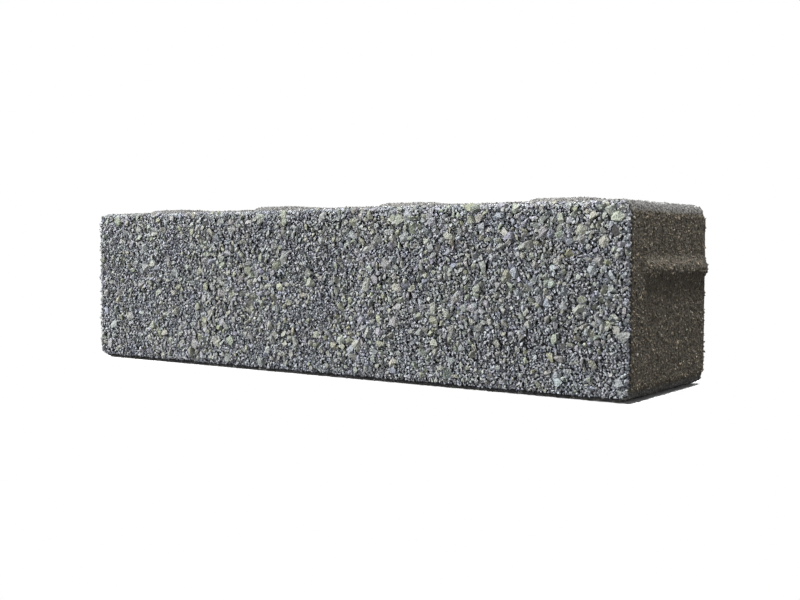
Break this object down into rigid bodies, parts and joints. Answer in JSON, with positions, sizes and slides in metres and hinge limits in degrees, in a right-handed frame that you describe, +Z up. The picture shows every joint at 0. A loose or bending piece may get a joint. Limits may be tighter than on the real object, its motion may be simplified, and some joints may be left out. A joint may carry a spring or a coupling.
{
  "type": "concrete paver",
  "caption": "Long square-section concrete paver with an exposed-aggregate wearing face, rounded corners and spacer ribs on two adjoining sides, lying on its plain long side.",
  "frame": {"origin": "middle of the plain long side that the paver lies on", "axes": "+X along the length, -Y is the exposed-aggregate wearing face, +Y the bed face, +Z up as it lies"},
  "size_m": [0.322, 0.08, 0.082],
  "materials": {
    "concrete": "exposed aggregate wearing face, plain cast sides"
  },
  "bodies": {
    "root": {"paver": "concrete"}
  },
  "joints": []
}
